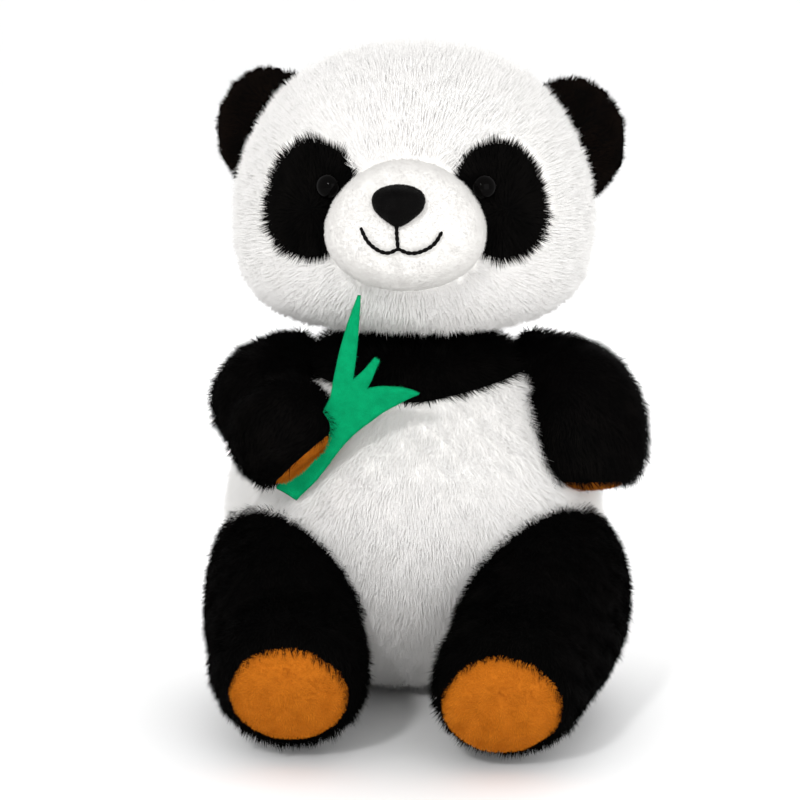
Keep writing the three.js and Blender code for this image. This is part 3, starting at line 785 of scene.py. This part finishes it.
tail_panel = whole(forms["tail"], "tail")
sew("tail_plush", tail_panel, WHITE_CLOTH, "torso", ["tail_skin", "tail_filling"], "white_plush")
tail_pile = pile("tail_pile", tail_panel, WHITE_PILE, away_from(0, 50, 60), 13, density=75, length=9,
                 keep=outside("torso", 1))
place(tail_pile, "torso", "white_plush")

# The way the pile lies, and the start and end points between torso and limb
LIMB_LOOK = {
    "right_arm": (along(-0.45, -1, -0.35), (-48, 8, 161), (-78, -18, 155)),
    "left_arm": (along(0.3, -0.7, -0.9), (48, 8, 161), (82, -12, 154)),
    "right_leg": (along(0.05, -1, -0.35), (-58, 12, 54), (-64, -50, 54)),
    "left_leg": (along(-0.1, -1, -0.35), (58, 12, 54), (65, -50, 54)),
}
for number, (limb, (tubes, _, radius, pad)) in enumerate(LIMBS.items()):
    comb, start, end = LIMB_LOOK[limb]
    field = pad_field(tubes[-1], radius)
    cut = panels(forms[limb], [field], lambda p, f=field, n=pad: np.where(f(p) > 0, n, "skin"), depth=1.2,
                 bulge=SOLE_BULGE if radius == SOLE_RADIUS else 0.0)
    across = ("torso", to_row([start])[0], to_row([end])[0])
    sew(limb + "_plush", cut["skin"], BLACK_CLOTH, limb, [limb + "_skin", limb + "_filling"], "black_plush",
        across=across)
    sew(pad + "_velboa", cut[pad], TAN_CLOTH, limb, [pad], "tan_velboa")
    fur = pile(limb + "_pile", cut["skin"], BLACK_PILE, comb, 20 + number, density=100, length=6.4, width=0.48,
               lift=33, tangle=0.22, clump=0.1, keep=all_of(outside("torso", 3), lambda p: p[:, 2] > OVER_FLOOR))
    place(fur, limb, "black_plush", across)
    middle = axis_end(tubes[-1])[0] + np.array([0, 0, 12])
    short = pile(pad + "_pile", cut[pad], TAN_PILE, away_from(*middle), 30 + number, density=230, length=1.7,
                 width=0.38, lift=44, tangle=0.6, tone_size=9)
    place(short, limb, "tan_velboa")


def name_head(points):
    names = np.where(crown_field(points) > 0, "head_front", "head_back").astype("U20")
    names[patch_field(-1)(points) > 0] = "right_eye_patch"
    names[patch_field(1)(points) > 0] = "left_eye_patch"
    return names


head = panels(forms["head"], HEAD_FIELDS, name_head)
SIDES = ((-1, "right"), (1, "left"))
FAR_IN_FRONT = -200  # where rays to the face start
EYE_ACROSS, EYE_HEIGHT, EYE_STANDS = 35.4, 264.5, 3.2
EYE_TURN, EYE_TIP = math.radians(24), 0.12
eyes = {}
for side, hand in SIDES:
    turn = EYE_TURN * side
    look = unit(np.array([math.sin(turn), -math.cos(turn), EYE_TIP]))
    spot = np.array(solids["head"].ray_cast((EYE_ACROSS * side, FAR_IN_FRONT, EYE_HEIGHT), (0, 1, 0))[0])
    eyes[hand] = spot + look * EYE_STANDS, look


PATCH_MARGIN = 2.2  # white pile starts this far from the black patches


def off_face(points):
    """Keeps head pile off the patches, the muzzle and the torso below."""
    off_patches = lambda p: np.maximum(patch_field(1)(p), patch_field(-1)(p)) < -PATCH_MARGIN
    return all_of(off_patches, outside("muzzle", 0.5), outside("torso", -1))(points)


def head_flow(points):
    back = np.clip(points[:, 1:2] / 60, 0, 1)
    return unit(points - np.array([0, -130, 247])) * (1 - 0.5 * back) + np.array([0, 0, -1.0]) * back


HEAD_HALVES = (("head_front", ["head_front_skin", "head_filling"], 41), ("head_back", ["head_back_skin"], 42))
for name, nodes, seed in HEAD_HALVES:
    sew(name + "_plush", head[name], WHITE_CLOTH, "head", nodes, "white_plush", on_head=True)
    fur = pile(name + "_pile", head[name], WHITE_PILE, head_flow, seed, density=114, length=6.8, width=0.44, lift=32,
               tangle=0.24, clump=0.06, keep=off_face, on_head=True)
    place(fur, "head", "white_plush")

muzzle_panel = whole(forms["muzzle"], "muzzle")
sew("muzzle_velboa", muzzle_panel, MUZZLE_CLOTH, "head", ["muzzle_skin", "muzzle_filling"], "white_short_plush",
    on_head=True)
fur = pile("muzzle_pile", muzzle_panel, MUZZLE_PILE, away_from(0, -125, 250), 43, density=170, length=1.6, width=0.4,
           lift=35, tangle=0.5, keep=outside("head", 0), on_head=True)
place(fur, "head", "white_short_plush")

EYE_CLEAR = 4.6  # patch pile starts this far from the axis of an eye
for side, hand in SIDES:
    patch = head[hand + "_eye_patch"]
    seat, look = eyes[hand]
    sew(hand + "_eye_patch_plush", patch, BLACK_CLOTH, "head", [hand + "_eye_patch"], "black_long_plush",
        on_head=True)
    clear = lambda p, s=seat, l=look: np.linalg.norm(np.cross(p - s, l), axis=1) > EYE_CLEAR
    fur = pile(hand + "_eye_patch_pile", patch, BLACK_PILE, away_from(46.5 * side, -70, 253), 50 + side,
               density=190, length=6.0, width=0.46, lift=38, tangle=0.26, clump=0.3,
               keep=all_of(outside("muzzle", 0.5), clear), on_head=True)
    place(fur, "head", "black_long_plush")
    ear = hand + "_ear"
    field = ear_field(side)
    cut = panels(forms[ear], [field], lambda p, f=field: np.where(f(p) > 0, "front", "back"), depth=0.8)
    outward = EAR_OUTWARD * [side, 1, 1]
    seam = EAR_PLACE[side] + TO_EAR_SEAM
    across = ("head", *to_row([seam - 5 * outward, seam + 9 * outward], on_head=True))
    for face in ("front", "back"):
        nodes = [f"{ear}_{face}"] + ([ear + "_filling"] if face == "front" else [])
        sew(f"{ear}_{face}_plush", cut[face], BLACK_CLOTH, ear, nodes, "black_plush", on_head=True, across=across)
        fur = pile(f"{ear}_{face}_pile", cut[face], EAR_PILE, away_from(*(seam - 20 * outward)), 60 + side, density=170,
                   length=3.4, width=0.45, lift=42, keep=outside("head", 3), on_head=True)
        place(fur, ear, "black_plush", across)


# ---------- face ----------

def thread(name, points, material, radius=0.84, pitch=2.6, on_head=False):
    """A two-ply thread along points, its plies turning once every pitch mm."""
    sides, step = 14, 0.22
    length = np.concatenate([[0], np.cumsum(np.linalg.norm(np.diff(points, axis=0), axis=1))])
    count = int(length[-1] / step) + 2
    at = np.linspace(0, length[-1], count)
    line = np.stack([np.interp(at, length, points[:, k]) for k in range(3)], 1)
    ahead = unit(np.gradient(line, axis=0))
    side = unit(np.cross(ahead, [0.0, -1.0, 0.0]) + [0, 0, 1e-6])
    high = np.cross(side, ahead)
    angle = np.linspace(0, 2 * math.pi, sides, endpoint=False)
    ply = 1 + 0.16 * np.cos(2 * angle - 2 * math.pi * at[:, None] / pitch)
    end = np.sqrt(np.clip(1 - ((at - length[-1] / 2) / (length[-1] / 2 + 0.3)) ** 16, 0.02, 1))
    size = (radius * ply * end[:, None])[..., None]
    rings = line[:, None] + size * (np.cos(angle)[:, None] * side[:, None] + np.sin(angle)[:, None] * high[:, None])
    return add_object(name, *close_rings(rings[:, ::-1]), material, on_head)


MOUTH_BLACK = cloth_material("mouth_thread", (0.001, 0.0009, 0.0009), (0.005, 0.0045, 0.0045), 0.4,
                             roughness=0.6, **DULL)
MOUTH_STANDS = 1.3  # from the backing to the middle of the thread


def on_muzzle(points):
    found = []
    for x, z in points:
        spot, normal, _, _ = solids["muzzle"].ray_cast((x, FAR_IN_FRONT, z), (0, 1, 0))
        found.append(np.array(spot) + np.array(normal) * MOUTH_STANDS)
    return np.array(found)


LINE = [[-2.2, 252], [-2.2, 248], [-2.0, 245], [-1.7, 242], [-1.4, 239]]
LEFT_SMILE = [[-1.5, 239.9], [3.5, 238.0], [9, 238.8], [14.6, 242], [18.2, 247.4]]
RIGHT_SMILE = [[-1.5, 239.9], [-6, 238.0], [-10.6, 239.3], [-15.4, 243.2], [-18.5, 249]]
strokes = [LINE, LEFT_SMILE, RIGHT_SMILE]
mouth = [thread("stroke", read_rows(on_muzzle(stroke), 24), MOUTH_BLACK, on_head=True) for stroke in strokes]
with bpy.context.temp_override(active_object=mouth[0], selected_editable_objects=mouth):
    bpy.ops.object.join()
mouth = mouth[0]
mouth.name = "mouth_thread"
place(mouth, "head", "black_thread")
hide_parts("mouth_stitching")

NOSE_MIDDLE, NOSE_HEIGHT = -1.6, 259.5
NOSE_TAPER, NOSE_DROOP = 0.0035, 0.08  # below the middle the nose narrows to a point
NOSE = [
    [NOSE_MIDDLE, -106, 259.6, 10.0, 7.6], [NOSE_MIDDLE, -111, 259.6, 11.5, 8.8],
    [NOSE_MIDDLE, -116, 259.5, 11.7, 9.0], [NOSE_MIDDLE, -120.5, 259.4, 10.5, 8.0],
    [NOSE_MIDDLE, -123.8, 259.3, 7.0, 5.3], [NOSE_MIDDLE, -125.2, 259.3, 2.5, 2.0],
]
nose_form = tube(NOSE, UP, sides=56, levels=36, taper=0.26)
below = np.minimum(nose_form[0][:, 2] - NOSE_HEIGHT, 0)
nose_form[0][:, 0] = NOSE_MIDDLE + (nose_form[0][:, 0] - NOSE_MIDDLE) * (1 - NOSE_TAPER * below ** 2)
nose_form[0][:, 2] += NOSE_DROOP * below
nose_panel = whole(nose_form, "nose")
nose = add_object("nose_velvet", *nose_form, VELVET, on_head=True)
place(nose, "head", "black_velvet")
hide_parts("nose")
nap = pile("nose_pile", nose_panel, VELVET_PILE, away_from(0, -125, 275), 70, density=900, length=0.7, width=0.22,
           lift=45, keep=outside("muzzle", -0.3), on_head=True, tone_size=6)
place(nap, "head", "black_velvet")


def turned(profile, centre, axis, name, material, sides=48, on_head=False):
    """A closed round part from a profile of (distance along the axis, radius)."""
    axis = unit(np.asarray(axis, float))
    side = unit(np.cross(axis, UP))
    high = np.cross(side, axis)
    angle = np.linspace(0, 2 * math.pi, sides, endpoint=False)
    ring = np.cos(angle)[:, None] * side + np.sin(angle)[:, None] * high
    rings = np.array([centre + axis * far + ring * r for far, r in profile])
    verts, faces = close_rings(rings)
    return add_object(name, verts, [f[::-1] for f in faces], material, on_head)


EYE_RADIUS = 5.8
EYE_GLOSS, eye_shader = new_material("eye_plastic", roughness=0.05, Specular_IOR_Level=0.035)
tree = EYE_GLOSS.node_tree
depth_noise = tree.nodes.new("ShaderNodeTexNoise")
depth_noise.inputs["Scale"].default_value = 300
tree.links.new(mixed_colour(tree, depth_noise.outputs["Fac"], (0.0004, 0.0003, 0.0003), (0.0012, 0.001, 0.0009)),
               eye_shader.inputs["Base Color"])
for hand, (seat, look) in eyes.items():
    dome = [(0.9 + 4.4 * math.sin(a), EYE_RADIUS * math.cos(a)) for a in np.linspace(0, math.pi / 2 - 0.04, 16)]
    profile = [(-9, 1.9), (-0.6, 1.9), (-0.4, 5.2), (0, 5.6), (0.5, EYE_RADIUS), *dome]
    eye = turned(profile, seat, look, hand + "_eye_dome", EYE_GLOSS, on_head=True)
    place(eye, "head", "eye_plastic")
    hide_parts(hand + "_eye")

# ---------- hidden pieces ----------

WASHER = cloth_material("washer_plastic", (0.72, 0.72, 0.70), (0.80, 0.80, 0.78), 0.8, bump=0.05, roughness=0.5)
THREAD = cloth_material("white_thread", (0.78, 0.76, 0.72), (0.88, 0.86, 0.83), 0.3, roughness=0.7)
FIBRE = cloth_material("fibrefill", (0.86, 0.86, 0.86), (0.95, 0.95, 0.95), 2.0, bump=0.8, roughness=1.0)
for hand, (seat, look) in eyes.items():
    disc = [(-7.4, 2.1), (-7.4, 4.6), (-7.1, 5.2), (-6.7, 5.4), (-6.3, 5.2), (-6.1, 4.6), (-6.1, 2.1)]
    washer = turned(disc + disc[:1], seat, look, hand + "_eye_lock_washer", WASHER, on_head=True)
    place(washer, "head", "eye_plastic")
    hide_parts(hand + "_eye_washer")
# These two CAD nodes keep their shapes and only get a material
KEPT = {"neck_thread": THREAD, "neck_filling": FIBRE}
for node, material in KEPT.items():
    kept = frame["nodes"][node]
    for number in range(len(kept.material_slots)):
        kept.material_slots[number].link = "OBJECT"
        kept.material_slots[number].material = material

# ---------- bamboo sprig ----------

FELT = 2.0  # thickness
LONGEST_EDGE = 2.6
SPRIG_PLACE = np.array([-62.5, -70.5, 115.5])
SPRIG_LEAN = math.radians(90 + 14)
# Corners and the curves between them: end point, and the point that the curve bends towards
SPRIG = [
    ((-4.7, 3.4), None), ((4.8, -3.4), None), ((21.4, 17), (14, 6)), ((39.7, 39), (28, 29)), ((64.4, 56), (51, 48)),
    ((39.5, 56.5), (52, 61)), ((45.6, 71), (42.5, 63)), ((43.2, 72.4), None), ((33, 61.5), (38.7, 66.5)),
    ((36.8, 102.5), (35.8, 80)), ((35.4, 102.7), None), ((22, 52), (26.8, 81)), ((-4.7, 3.4), (11, 28)),
]


def sprig_outline(step=1.6):
    points = []
    for (start, _), (end, bend) in zip(SPRIG, SPRIG[1:], strict=False):
        start, end = np.array(start, float), np.array(end, float)
        bend = (start + end) / 2 if bend is None else np.array(bend, float)
        count = max(1, int(np.linalg.norm(end - start) / step))
        for t in np.arange(count) / count:
            points.append((1 - t) ** 2 * start + 2 * t * (1 - t) * bend + t * t * end)
    return np.array(points)


def sprig_sheet():
    """The flat cut, finely divided, its area in square mm, and the curled sheet in the panda's frame."""
    outline = sprig_outline()
    bm = bmesh.new()
    bm.faces.new([bm.verts.new((x, y, 0)) for x, y in outline]).normal_update()
    bmesh.ops.triangulate(bm, faces=bm.faces[:])
    for _ in range(5):
        long = [e for e in bm.edges if e.calc_length() > LONGEST_EDGE and not e.is_boundary]
        bmesh.ops.subdivide_edges(bm, edges=long, cuts=1)
        bmesh.ops.triangulate(bm, faces=bm.faces[:])
        bmesh.ops.beautify_fill(bm, faces=bm.faces[:], edges=[e for e in bm.edges if not e.is_boundary])
    bmesh.ops.recalc_face_normals(bm, faces=bm.faces[:])
    bm.verts.index_update()
    area = sum(f.calc_area() for f in bm.faces)
    flat = np.array([v.co for v in bm.verts])
    faces = [tuple(v.index for v in f.verts) for f in bm.faces]
    bm.free()
    u, v = flat[:, 0], flat[:, 1]
    spine = 26 + 9 * np.clip((v - 47) / 50, 0, 1)
    curl = 0.006 * (u - spine) ** 2 * np.clip((v - 30) / 40, 0, 1) + 2.5 * np.sin(v / 26)
    curl += 0.35 * waves(flat, 14, 5)
    w = 1.0 + curl
    c, s = math.cos(SPRIG_LEAN), math.sin(SPRIG_LEAN)
    bent = np.stack([u, v * c - w * s, v * s + w * c], -1) + SPRIG_PLACE
    return area, outline, bent, faces


FELT_GREEN = cloth_material("green_felt", (0.0008, 0.165, 0.062), (0.0025, 0.40, 0.155), 0.5, bump=0.9, detail=8.0,
                            roughness=0.95, **DULL)
# The fuzz's darker roots are painted shade, as on the other pile.
FUZZ_GREEN = pile_material("felt_fuzz", ((0.001, 0.20, 0.08), (0.0015, 0.28, 0.11)),
                           ((0.002, 0.27, 0.11), (0.005, 0.42, 0.17)), roughness=0.95, **DULL)
area, outline, bent, faces = sprig_sheet()
sprig = add_object("bamboo_sprig_felt", bent, faces, FELT_GREEN)
shell = sprig.modifiers.new("Felt", "SOLIDIFY")
shell.thickness = FELT * MM
shell.offset = 0
evaluated(sprig)
place(sprig, "right_arm", "green_felt")
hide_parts("bamboo_sprig")
# Turns of 2 degrees, from 0 up to 88
spins = [complex(math.cos(a), math.sin(a)) for a in np.radians(np.arange(0, 90, 2))]
verts, faces = read_mesh(sprig.data)
verts = verts / MM - SHIFT
sprig_panel = verts, faces, normals_of(verts, triangles_of(faces))
fuzz = pile("bamboo_sprig_fuzz", sprig_panel, FUZZ_GREEN, along(0.2, 0, 1), 80, density=130, length=1.6,
            width=0.14, lift=18, tangle=2.5, clump=0.3, tone_size=8)
place(fuzz, "right_arm", "green_felt")

# ---------- studio ----------

FLOOR, _ = new_material("floor", roughness=0.85)
FLOOR.node_tree.nodes["Principled BSDF"].inputs["Base Color"].default_value = (0.93, 0.93, 0.93, 1)
bpy.ops.mesh.primitive_plane_add(size=120, location=(0, 0, -0.0005))
floor = bpy.context.active_object
floor.name = "floor"
floor.data.materials.append(FLOOR)

world = bpy.data.worlds.new("studio")
bpy.context.scene.world = world
world.use_nodes = True
world.node_tree.nodes["Background"].inputs["Color"].default_value = (1, 1, 1, 1)
world.node_tree.nodes["Background"].inputs["Strength"].default_value = 1.08


def look_at(thing, target):
    way = np.array(target) - np.array(thing.location)
    thing.rotation_euler = Vector(way).to_track_quat("-Z", "Y").to_euler()


def softbox(name, place_at, power, size, target=(0, 0, 0.18)):
    light = bpy.data.lights.new(name, "AREA")
    light.energy = power
    light.size = size
    thing = bpy.data.objects.new(name, light)
    thing.location = place_at
    bpy.context.scene.collection.objects.link(thing)
    look_at(thing, target)


softbox("key", (-0.5, -1.6, 1.1), 12, 0.16)
softbox("fill", (0.9, -1.5, 0.5), 9, 1.2)
softbox("back", (0.4, 1.7, 1.0), 8, 1.2)

camera_data = bpy.data.cameras.new("camera")
camera_data.lens = 110
camera = bpy.data.objects.new("camera", camera_data)
bpy.context.scene.collection.objects.link(camera)
AIM = np.array([-0.012, 0.038, 0.149])
TILT = math.radians(10)
camera.location = AIM + 1.25 * np.array([0, -math.cos(TILT), math.sin(TILT)])
look_at(camera, AIM)
bpy.context.scene.camera = camera
bpy.context.scene.view_settings.view_transform = "Standard"
